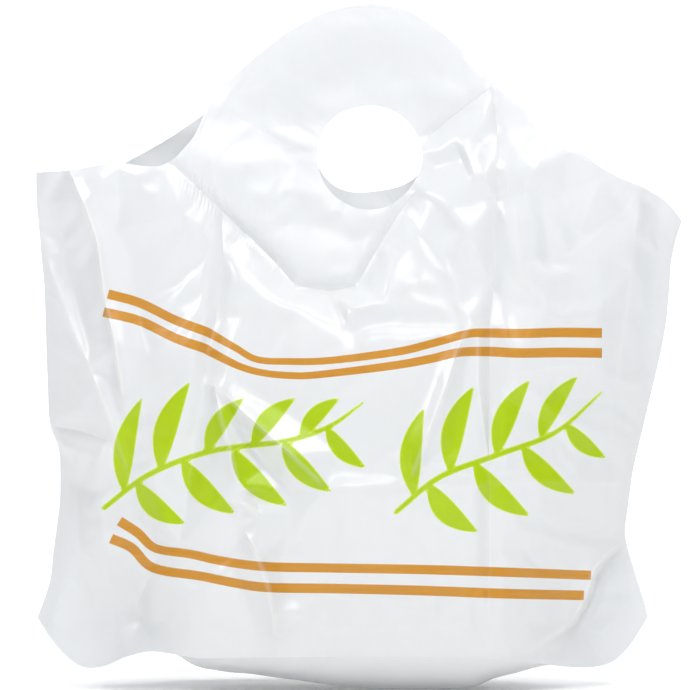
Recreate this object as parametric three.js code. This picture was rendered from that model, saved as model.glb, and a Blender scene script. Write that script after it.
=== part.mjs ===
// Plastic carrier bag, standing open on its bottom gusset.
// Millimetres, +Z up, front panel towards -Y, origin on the ground under the middle of the bag.
import * as THREE from "three";

// ---- driving dimensions ----
const FILM = 0.4; // film wall as modelled
const SEAL_HALF = 0.4; // half the thickness of the welded side seam
const SEAL_INSET = 0.004; // share of the width taken by the side weld
const HANDLE_DIAMETER = 80; // punched hand hole, cut in both panels
const HANDLE_X = 8.5;
const HANDLE_Z_FRONT = 409;
const HANDLE_Z_BACK = 418; // the back panel sits a little higher
const FOOT_SHARE = 0.42; // share of the gusset's depth that lies flat on the ground
const FOOT_EDGE_LIFT = 0.35; // how far the gusset has risen halfway to its fold

// side seams, [height, x]: each runs from an ear at the gusset to a corner of the mouth
const LEFT_SEAM = [
  [53.9, -248.8], [63.9, -244.9], [75.6, -241], [87.2, -237.9], [98.8, -237.2], [122.1, -234.1],
  [145.3, -231], [180.2, -231], [190.3, -233.3], [198, -237.2], [207.3, -239.5], [230.6, -240.2],
  [284.8, -241.8], [308.1, -242.6], [331.3, -244.9], [354.6, -247.2], [377.8, -249.6], [398.7, -249.6],
];
const RIGHT_SEAM = [
  [53.9, 224.8], [63.9, 223.2], [75.6, 219.3], [87.2, 215.5], [98.8, 212.3], [110.4, 208.5],
  [122.1, 206.9], [133.7, 208.5], [168.6, 213.1], [191.8, 218.6], [215.1, 224], [238.3, 229.4],
  [261.6, 234.8], [284.8, 238.7], [308.1, 241], [331.3, 242.6], [350.7, 247.2], [360.8, 251.1],
];
// fold between a panel and the gusset, [x, height]: an ear hangs at each end
const BOTTOM_FOLD = [
  [-248.8, 53.9], [-240.2, 41.5], [-231, 29.8], [-217.8, 18.2], [-207.5, 15.4], [-193.2, 18.2],
  [-179.3, 26.2], [-159, 32.5], [-139.1, 31.7], [-119.7, 29], [-74.2, 30.2], [1.3, 31], [69.1, 31],
  [106.9, 30.6], [130.6, 24.4], [155.1, 18.2], [179.2, 15.1], [196.5, 18.6], [207.7, 27.5],
  [216.2, 39.9], [224.8, 53.9],
];
// middle line of the gusset, [x, height]
const GUSSET_MIDDLE = [
  [-248.8, 53.9], [-240.2, 41.5], [-231, 29.8], [-217.8, 18.2], [-207.5, 15.4], [-193.2, 18.2],
  [-179.3, 27], [-159, 36], [-130, 27], [-100, 16], [-60, 6], [-45, 0], [98, 0], [118, 8], [141, 15],
  [160, 17.4], [179.2, 15.1], [196.5, 18.6], [207.7, 27.5], [216.2, 39.9], [224.8, 53.9],
];
// wave top, [x, height]: straight at the left shoulder, dome over the hand hole, hollow right shoulder
const TOP_BACK = [
  [-249.6, 398.7], [-223.2, 400.3], [-192.2, 404.9], [-184.5, 407.3], [-171.3, 414.2], [-145.7, 428.2],
  [-117, 446.8], [-107, 458.4], [-95.3, 470.8], [-82.2, 482.4], [-68.2, 494.1], [-51.9, 505.7],
  [-31, 517.3], [-14, 522.7], [9.3, 526.2], [32.6, 522.7], [45, 517.3], [62, 505.7], [76, 494.1],
  [86.8, 482.4], [97.7, 470.8], [109.3, 459.2], [122.5, 447.6], [137.2, 435.9], [151.9, 424.3],
  [168.2, 412.7], [183.7, 401.1], [196.8, 394.1], [219.3, 385.6], [237.2, 377], [245.7, 368.5],
  [251.1, 360.8],
];
// the front panel sags open at the left shoulder and follows the back panel elsewhere
const TOP_FRONT_SAG = [
  [-249.6, 398.7], [-222.5, 399.1], [-182.9, 404.8], [-167, 401.7], [-151.2, 400.4], [-139.7, 406.5],
  [-132.3, 414.5], [-125.6, 422.3], [-121.3, 430.3], [-116.4, 444.9], [-106.7, 457.8],
];
// half depth of the body at the middle, [height, depth]
const HALF_DEPTH = [
  [15, 64], [30, 67], [60, 73], [120, 77], [200, 77], [260, 72], [300, 62], [330, 50], [360, 36],
  [390, 22], [420, 12], [450, 7], [480, 5], [527, 2.5],
];
// extra opening of the mouth at the shoulders, [height, depth]
const SHOULDER_DEPTH = [[0, 0], [300, 0], [340, 12], [380, 30], [400, 34], [430, 24], [470, 8], [500, 0]];
// shares of the half depth against the distance from the middle, 0 to 1
const SECTION_BODY = [[0, 1], [0.2, 0.99], [0.45, 0.93], [0.6, 0.78], [0.75, 0.54], [0.88, 0.27], [0.96, 0.09], [1, 0]];
const SECTION_FOOT = [[0, 1], [0.3, 1], [0.5, 0.93], [0.6, 0.72], [0.68, 0.42], [0.76, 0.17], [0.85, 0.07], [1, 0]];
const SECTION_SHOULDER = [[0, 0], [0.2, 0.1], [0.35, 0.55], [0.5, 0.95], [0.62, 1], [0.75, 0.85], [0.88, 0.45], [0.96, 0.15], [1, 0]];
const FOOT_FROM = 45; // below this height the section is the gusset's
const FOOT_TO = 130; // above this height it is the body's

// mesh stations: across the width and up the height
const ACROSS_LEFT = [0, SEAL_INSET, 0.018, 0.04, 0.065, 0.09, 0.125, 0.17, 0.215, 0.26, 0.3, 0.34];
const ACROSS_HANDLE = [0.379, 0.4265, 0.474, 0.5215, 0.569, 0.6165, 0.664];
const ACROSS_RIGHT = [0.7, 0.735, 0.77, 0.81, 0.85, 0.89, 0.925, 0.955, 0.98, 1 - SEAL_INSET, 1];
const UP_LOW = [0, 0.03, 0.07, 0.115, 0.16, 0.21, 0.27, 0.33, 0.39, 0.45, 0.5, 0.55];
const UP_HANDLE = [0.6, 0.655, 0.71, 0.764, 0.82, 0.875, 0.93];
const UP_HIGH = [1];
const GUSSET_STATIONS = [-1, -0.72, -FOOT_SHARE, 0, FOOT_SHARE, 0.72, 1];

// ---- curves ----
const lerp = (a, b, t) => a + (b - a) * t;
const smooth = (a, b, x) => {
  const t = Math.min(1, Math.max(0, (x - a) / (b - a)));
  return t * t * (3 - 2 * t);
};
function read(table, x) {
  if (x <= table[0][0]) return table[0][1];
  for (let i = 1; i < table.length; i++)
    if (x <= table[i][0]) return lerp(table[i - 1][1], table[i][1], (x - table[i - 1][0]) / (table[i][0] - table[i - 1][0]));
  return table[table.length - 1][1];
}
const seamX = (seam, v) => read(seam, lerp(seam[0][0], seam[seam.length - 1][0], v));
const topOf = (side, x) => {
  const last = TOP_FRONT_SAG[TOP_FRONT_SAG.length - 1][0];
  return side < 0 && x < last ? read(TOP_FRONT_SAG, x) : read(TOP_BACK, x);
};
const bottomX = (u) => lerp(LEFT_SEAM[0][1], RIGHT_SEAM[0][1], u);
const topX = (u) => lerp(LEFT_SEAM.at(-1)[1], RIGHT_SEAM.at(-1)[1], u);

function panelXZ(side, u, v) {
  const x = lerp(seamX(LEFT_SEAM, v), seamX(RIGHT_SEAM, v), u);
  const z = lerp(read(BOTTOM_FOLD, bottomX(u)), topOf(side, topX(u)), v);
  return [x, z];
}
function acrossAt(side, x, z) {
  let u = 0.5, v = 0.5;
  for (let i = 0; i < 12; i++) {
    v = (z - read(BOTTOM_FOLD, bottomX(u))) / (topOf(side, topX(u)) - read(BOTTOM_FOLD, bottomX(u)));
    u = (x - seamX(LEFT_SEAM, v)) / (seamX(RIGHT_SEAM, v) - seamX(LEFT_SEAM, v));
  }
  return u;
}
function halfDepth(u, z) {
  const s = Math.abs(2 * u - 1);
  const w = smooth(FOOT_FROM, FOOT_TO, z);
  const section = lerp(read(SECTION_FOOT, s), read(SECTION_BODY, s), w);
  return SEAL_HALF + read(HALF_DEPTH, z) * section + read(SHOULDER_DEPTH, z) * read(SECTION_SHOULDER, s);
}

// ---- mesh ----
const points = [];
const faces = [];
const point = (x, y, z) => points.push([x, y, z]) - 1;
const tri = (a, b, c) => {
  if (a !== b && b !== c && c !== a) faces.push([a, b, c]);
};
const quad = (a, b, c, d, flip) => {
  if (flip) [b, d] = [d, b];
  tri(a, b, c);
  tri(a, c, d);
};

const US = [...ACROSS_LEFT, ...ACROSS_HANDLE, ...ACROSS_RIGHT];
const VS = [...UP_LOW, ...UP_HANDLE, ...UP_HIGH];
const N = US.length - 1;
const M = VS.length - 1;
const I0 = ACROSS_LEFT.length;
const I1 = I0 + ACROSS_HANDLE.length - 1;
const J0 = UP_LOW.length;
const J1 = J0 + UP_HANDLE.length - 1;

// one face of one panel: side -1 is the front, +1 the back; inner faces are one film wall in
function sheet(side, inner, shared) {
  const grid = [];
  const from = inner ? 1 : 0;
  const to = inner ? N - 1 : N;
  for (let i = from; i <= to; i++) {
    grid[i] = [];
    for (let j = 0; j <= M; j++) {
      if (inner && (i === 1 || i === N - 1)) {
        grid[i][j] = shared[i][j];
        continue;
      }
      if (i > I0 && i < I1 && j > J0 && j < J1) continue;
      const [x, z] = panelXZ(side, US[i], VS[j]);
      const depth = halfDepth(US[i], z) - (inner ? FILM : 0);
      grid[i][j] = point(x, side * depth, z + (inner && j === 0 ? FILM : 0));
    }
  }
  const flip = (side > 0) !== inner;
  for (let i = from; i < to; i++)
    for (let j = 0; j < M; j++) {
      if (i >= I0 && i < I1 && j >= J0 && j < J1) continue;
      quad(grid[i][j], grid[i + 1][j], grid[i + 1][j + 1], grid[i][j + 1], flip);
    }
  // rings from the window in the grid to the round hand hole
  const window = [];
  for (let i = I0; i < I1; i++) window.push([i, J0]);
  for (let j = J0; j < J1; j++) window.push([I1, j]);
  for (let i = I1; i > I0; i--) window.push([i, J1]);
  for (let j = J1; j > J0; j--) window.push([I0, j]);
  const cz = side < 0 ? HANDLE_Z_FRONT : HANDLE_Z_BACK;
  let ring = window.map(([i, j]) => grid[i][j]);
  for (const share of [0.5, 1]) {
    const next = window.map(([i, j]) => {
      const [wx, wz] = panelXZ(side, US[i], VS[j]);
      const angle = Math.atan2(wz - cz, wx - HANDLE_X);
      const x = lerp(wx, HANDLE_X + (HANDLE_DIAMETER / 2) * Math.cos(angle), share);
      const z = lerp(wz, cz + (HANDLE_DIAMETER / 2) * Math.sin(angle), share);
      return point(x, side * (halfDepth(acrossAt(side, x, z), z) - (inner ? FILM : 0)), z);
    });
    for (let k = 0; k < ring.length; k++) {
      const l = (k + 1) % ring.length;
      quad(ring[k], ring[l], next[l], next[k], flip);
    }
    ring = next;
  }
  return { grid, hole: ring };
}

const front = sheet(-1, false);
const back = sheet(1, false);
// where the inner faces meet, just inside each side weld
const weld = {};
for (const i of [1, N - 1]) {
  weld[i] = VS.map((v, j) => {
    const [x, z] = panelXZ(1, US[i], v);
    return point(x, 0, z + (j === 0 ? FILM : 0));
  });
}
const frontIn = sheet(-1, true, weld);
const backIn = sheet(1, true, weld);

// gusset, outer and inner faces
function gusset(inner) {
  const F = (inner ? frontIn : front).grid;
  const B = (inner ? backIn : back).grid;
  const K = GUSSET_STATIONS.length - 1;
  const from = inner ? 2 : 1;
  const rows = [];
  for (let i = from; i <= N - from; i++) {
    const x = bottomX(US[i]);
    const fold = read(BOTTOM_FOLD, x);
    const middle = read(GUSSET_MIDDLE, x);
    const depth = halfDepth(US[i], fold) - (inner ? FILM : 0);
    rows[i] = GUSSET_STATIONS.map((q, k) => {
      if (k === 0) return F[i][0];
      if (k === K) return B[i][0];
      const a = Math.abs(q);
      const rise = a <= FOOT_SHARE ? 0 : FOOT_EDGE_LIFT;
      return point(x, q * depth, lerp(middle, fold, rise) + (inner ? FILM : 0));
    });
  }
  for (let i = from; i < N - from; i++)
    for (let k = 0; k < K; k++) quad(rows[i][k], rows[i][k + 1], rows[i + 1][k + 1], rows[i + 1][k], inner);
  // the ends close on the side welds
  for (const [i, end] of [[from, from - 1], [N - from, N - from + 1]]) {
    const flip = (end > i) !== inner;
    const f = F[end][0];
    const b = B[end][0];
    for (let k = 0; k < K; k++) {
      const apex = k < K / 2 ? f : b;
      flip ? tri(apex, rows[i][k], rows[i][k + 1]) : tri(apex, rows[i][k + 1], rows[i][k]);
    }
    const mid = rows[i][K / 2];
    flip ? tri(f, mid, b) : tri(f, b, mid);
  }
}
gusset(false);
gusset(true);

// side welds: a narrow wall, and the solid end of the mouth
for (const [end, near, flip] of [[0, 1, false], [N, N - 1, true]]) {
  for (let j = 0; j < M; j++)
    quad(front.grid[end][j], front.grid[end][j + 1], back.grid[end][j + 1], back.grid[end][j], flip);
  const w = weld[near][M];
  const loop = [front.grid[end][M], front.grid[near][M], w, back.grid[near][M], back.grid[end][M]];
  for (let k = 1; k < 4; k++)
    flip ? tri(loop[0], loop[k + 1], loop[k]) : tri(loop[0], loop[k], loop[k + 1]);
}
// cut edges of the mouth
for (let i = 1; i < N - 1; i++) {
  quad(front.grid[i][M], front.grid[i + 1][M], frontIn.grid[i + 1][M], frontIn.grid[i][M], false);
  quad(back.grid[i][M], back.grid[i + 1][M], backIn.grid[i + 1][M], backIn.grid[i][M], true);
}
// cut edges of the hand hole
for (const [outer, inner, flip] of [[front, frontIn, false], [back, backIn, true]])
  for (let k = 0; k < outer.hole.length; k++) {
    const l = (k + 1) % outer.hole.length;
    quad(outer.hole[k], outer.hole[l], inner.hole[l], inner.hole[k], flip);
  }

// middle of the width on the origin, lowest face on the ground
const xs = points.map((p) => p[0]);
const shift = (Math.min(...xs) + Math.max(...xs)) / 2;
const geometry = new THREE.BufferGeometry();
geometry.setAttribute("position", new THREE.Float32BufferAttribute(points.flatMap(([x, y, z]) => [x - shift, y, z]), 3));
geometry.setIndex(faces.flat());
geometry.computeVertexNormals();

const film = new THREE.MeshStandardMaterial({ name: "white_film", color: 0xf3f4f6, roughness: 0.35, metalness: 0, side: THREE.DoubleSide });
const bag = new THREE.Mesh(geometry, film);
bag.name = "carrier_bag_film";

const part = new THREE.Group();
part.name = "carrier_bag";
part.add(bag);
export default part;
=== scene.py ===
import math
import bpy
import numpy as np
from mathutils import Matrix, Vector
from mathutils.geometry import delaunay_2d_cdt


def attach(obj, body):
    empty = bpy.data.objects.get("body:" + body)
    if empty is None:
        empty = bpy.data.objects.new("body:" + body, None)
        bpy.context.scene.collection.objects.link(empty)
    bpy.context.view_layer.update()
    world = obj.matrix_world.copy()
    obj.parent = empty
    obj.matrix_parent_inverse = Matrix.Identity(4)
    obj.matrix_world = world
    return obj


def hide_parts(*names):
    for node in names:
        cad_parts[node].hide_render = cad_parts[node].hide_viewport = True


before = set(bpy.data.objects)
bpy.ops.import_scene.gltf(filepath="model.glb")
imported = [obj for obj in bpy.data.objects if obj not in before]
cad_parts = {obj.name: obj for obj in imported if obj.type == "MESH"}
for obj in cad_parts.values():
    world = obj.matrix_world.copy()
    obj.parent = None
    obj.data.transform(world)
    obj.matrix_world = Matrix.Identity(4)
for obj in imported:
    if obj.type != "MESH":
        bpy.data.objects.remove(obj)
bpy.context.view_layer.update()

# ---------------------------------------------------------------- curves
SHIFT = 0.75          # mm, puts the middle of the width on the origin
VIEW_X, VIEW_Z = -10.825, 265.4   # mm, where the camera's axis meets the bag's middle plane
VIEW_FAR = 2400.0     # mm, camera distance
VIEW_MM = 0.775       # mm for each unit of the front elevation, at the middle plane

LEFT_SEAM = [
    (53.9, -248.8), (63.9, -244.9), (75.6, -241), (87.2, -237.9), (98.8, -237.2), (122.1, -234.1),
    (145.3, -231), (180.2, -231), (190.3, -233.3), (198, -237.2), (207.3, -239.5), (230.6, -240.2),
    (284.8, -241.8), (308.1, -242.6), (331.3, -244.9), (354.6, -247.2), (377.8, -249.6), (398.7, -249.6)]
RIGHT_SEAM = [
    (53.9, 224.8), (63.9, 223.2), (75.6, 219.3), (87.2, 215.5), (98.8, 212.3), (110.4, 208.5),
    (122.1, 206.9), (133.7, 208.5), (168.6, 213.1), (191.8, 218.6), (215.1, 224), (238.3, 229.4),
    (261.6, 234.8), (284.8, 238.7), (308.1, 241), (331.3, 242.6), (350.7, 247.2), (360.8, 251.1)]
BOTTOM_FOLD = [
    (-248.8, 53.9), (-240.2, 41.5), (-231, 29.8), (-217.8, 18.2), (-207.5, 15.4), (-193.2, 18.2),
    (-179.3, 26.2), (-159, 32.5), (-139.1, 31.7), (-119.7, 29), (-74.2, 30.2), (1.3, 31), (69.1, 31),
    (106.9, 30.6), (130.6, 24.4), (155.1, 18.2), (179.2, 15.1), (196.5, 18.6), (207.7, 27.5),
    (216.2, 39.9), (224.8, 53.9)]
GUSSET_MIDDLE = [
    (-248.8, 57), (-240.2, 47), (-231, 38), (-217.8, 29), (-207.5, 26), (-193.2, 29),
    (-179.3, 34), (-159, 36), (-140, 28), (-126, 17), (-53, 7), (-12, 2), (12, 0.6), (30, 0), (88, 0),
    (110, 9), (133, 15), (155, 20), (179.2, 23), (196.5, 27), (207.7, 35), (216.2, 44), (224.8, 56)]
TOP_BACK = [
    (-249.6, 398.7), (-223.2, 400.3), (-192.2, 404.9), (-184.5, 407.3), (-171.3, 414.2), (-145.7, 428.2),
    (-117, 446.8), (-107, 458.4), (-95.3, 470.8), (-82.2, 482.4), (-68.2, 494.1), (-51.9, 505.7),
    (-31, 517.3), (-14, 522.7), (9.3, 526.2), (32.6, 522.7), (45, 517.3), (62, 505.7), (76, 494.1),
    (86.8, 482.4), (97.7, 470.8), (109.3, 459.2), (122.5, 447.6), (137.2, 435.9), (151.9, 424.3),
    (168.2, 412.7), (183.7, 401.1), (196.8, 394.1), (219.3, 385.6), (237.2, 377), (245.7, 368.5),
    (251.1, 360.8)]
TOP_FRONT = [
    (-249.6, 398.7), (-222.5, 399.1), (-182.9, 404.8), (-167, 401.7), (-151.2, 400.4), (-139.7, 406.5),
    (-132.3, 414.5), (-125.6, 422.3), (-121.3, 430.3), (-116.4, 444.9), (-106.7, 457.8)]
HALF_DEPTH = [
    (0, 60), (15, 64), (30, 67), (60, 73), (120, 77), (200, 77), (260, 72), (300, 62), (330, 50), (360, 36),
    (390, 22), (420, 12), (450, 7), (480, 5), (527, 2.5)]
SHOULDER_DEPTH = [(0, 0), (300, 0), (340, 12), (380, 30), (400, 34), (430, 24), (470, 8), (500, 0), (527, 0)]
SECTION_BODY = [(0, 1), (0.2, 0.99), (0.45, 0.93), (0.6, 0.78), (0.75, 0.54), (0.88, 0.27), (0.96, 0.09), (1, 0)]
SECTION_FOOT = [(0, 1), (0.3, 1), (0.5, 0.93), (0.6, 0.72), (0.68, 0.42), (0.76, 0.17), (0.85, 0.07), (1, 0)]
SECTION_SHOULDER = [(0, 0), (0.2, 0.1), (0.35, 0.55), (0.5, 0.95), (0.62, 1), (0.75, 0.85), (0.88, 0.45), (0.96, 0.15), (1, 0)]
HOLE_X, HOLE_Z, HOLE_R = 8.5, 409.0, 40.0


def curve(table, sigma, step=None):
    """A table of points as a smooth function: linear, then blurred by sigma, with its ends kept."""
    t = np.array(table, float)
    step = step or sigma / 6.0
    n = max(8, int(round((t[-1, 0] - t[0, 0]) / step)))
    x = np.linspace(t[0, 0], t[-1, 0], n + 1)
    y = np.interp(x, t[:, 0], t[:, 1])
    k = int(math.ceil(3 * sigma / (x[1] - x[0])))
    k = min(k, n)
    e = np.concatenate([2 * y[0] - y[k:0:-1], y, 2 * y[-1] - y[-2:-k - 2:-1]])
    w = np.exp(-0.5 * (np.arange(-k, k + 1) * (x[1] - x[0]) / sigma) ** 2)
    w /= w.sum()
    y = np.convolve(e, w, "valid")
    return lambda q: np.interp(q, x, y)


left_seam, right_seam = curve(LEFT_SEAM, 5), curve(RIGHT_SEAM, 5)
fold_z, middle_z = curve(BOTTOM_FOLD, 4), curve(GUSSET_MIDDLE, 6)
top_back = curve(TOP_BACK, 4)
front_table = TOP_FRONT + [p for p in TOP_BACK if p[0] > -100]
top_front = curve(front_table, 3)
half_depth, shoulder = curve(HALF_DEPTH, 12), curve(SHOULDER_DEPTH, 12)
sec_body, sec_foot, sec_shoulder = curve(SECTION_BODY, 0.03), curve(SECTION_FOOT, 0.03), curve(SECTION_SHOULDER, 0.03)


def smooth(a, b, x):
    t = np.clip((x - a) / (b - a), 0, 1)
    return t * t * (3 - 2 * t)


def lerp(a, b, t):
    return a + (b - a) * t


def panel_xz(side, u, v):
    top = top_front if side < 0 else top_back
    x = lerp(left_seam(lerp(53.9, 398.7, v)), right_seam(lerp(53.9, 360.8, v)), u)
    z = lerp(fold_z(lerp(-248.8, 224.8, u)), top(lerp(-249.6, 251.1, u)), v)
    return x, z


def panel_uv(side, x, z):
    top = top_front if side < 0 else top_back
    u = np.full_like(x, 0.5)
    for _ in range(14):
        f = fold_z(lerp(-248.8, 224.8, u))
        v = np.clip((z - f) / (top(lerp(-249.6, 251.1, u)) - f), 0, 1)
        a, b = left_seam(lerp(53.9, 398.7, v)), right_seam(lerp(53.9, 360.8, v))
        u = np.clip((x - a) / (b - a), 0, 1)
    return u, v


def depth_at(u, z):
    s = np.abs(2 * u - 1)
    sec = lerp(sec_foot(s), sec_body(s), smooth(45, 130, z))
    return half_depth(z) * sec + shoulder(z) * sec_shoulder(s)


def elevation(x, y, z):
    """Front elevation as the camera sees it, in units of VIEW_MM, x to the right and y down from the frame's corner."""
    k = VIEW_MM * (1 + y / VIEW_FAR)
    return 345 + (x - SHIFT - VIEW_X) / k, 345 - (z - VIEW_Z) / k


# ---------------------------------------------------------------- noise
def noise(x, y, seed, size=97):
    """Smooth gradient noise, about -0.7 to 0.7."""
    g = np.random.default_rng(seed).uniform(0, 2 * math.pi, (size, size))
    xi, yi = np.floor(x).astype(int), np.floor(y).astype(int)
    fx, fy = x - xi, y - yi

    def corner(i, j):
        a = g[(xi + i) % size, (yi + j) % size]
        return np.cos(a) * (fx - i) + np.sin(a) * (fy - j)
    sx, sy = fx ** 3 * (fx * (fx * 6 - 15) + 10), fy ** 3 * (fy * (fy * 6 - 15) + 10)
    return lerp(lerp(corner(0, 0), corner(1, 0), sx), lerp(corner(0, 1), corner(1, 1), sx), sy)


def cells(x, y, seed, size=61):
    """Distance to the second nearest less the nearest of scattered points: flat plates with creases between."""
    rng = np.random.default_rng(seed)
    ox, oy = rng.uniform(0.1, 0.9, (size, size)), rng.uniform(0.1, 0.9, (size, size))
    xi, yi = np.floor(x).astype(int), np.floor(y).astype(int)
    a = np.full(x.shape, 9.0)
    b = np.full(x.shape, 9.0)
    for i in (-1, 0, 1):
        for j in (-1, 0, 1):
            cx, cy = xi + i, yi + j
            d = np.hypot(cx + ox[cx % size, cy % size] - x, cy + oy[cx % size, cy % size] - y)
            b = np.minimum(b, np.maximum(a, d))
            a = np.minimum(a, d)
    return b - a


# ---------------------------------------------------------------- folds and facets, in elevation units
def along(px, py, pts):
    """Distance to a polyline, its sign by side, and how far along it is, 0 to 1."""
    pts = np.array(pts, float)
    seg = np.hypot(*(pts[1:] - pts[:-1]).T)
    total = seg.sum()
    best = np.full(px.shape, 1e9)
    side = np.zeros(px.shape)
    t = np.zeros(px.shape)
    run = 0.0
    for (ax, ay), (bx, by), L in zip(pts[:-1], pts[1:], seg):
        dx, dy = (bx - ax) / L, (by - ay) / L
        q = np.clip((px - ax) * dx + (py - ay) * dy, 0, L)
        d = np.hypot(px - ax - q * dx, py - ay - q * dy)
        m = d < best
        best = np.where(m, d, best)
        side = np.where(m, np.sign((px - ax) * dy - (py - ay) * dx), side)
        t = np.where(m, (run + q) / total, t)
        run += L
    return best, side, t


def smooth_path(pts, n=8):
    """Catmull-Rom through the points."""
    p = np.array(pts, float)
    if len(p) < 3:
        return p
    e = np.concatenate([[2 * p[0] - p[1]], p, [2 * p[-1] - p[-2]]])
    out = []
    for i in range(1, len(e) - 2):
        for k in range(n):
            t = k / n
            out.append(0.5 * (2 * e[i] + (e[i + 1] - e[i - 1]) * t + (2 * e[i - 1] - 5 * e[i] + 4 * e[i + 1] - e[i + 2]) * t * t
                              + (3 * e[i] - e[i - 1] - 3 * e[i + 1] + e[i + 2]) * t ** 3))
    out.append(p[-1])
    return np.array(out)


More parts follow.
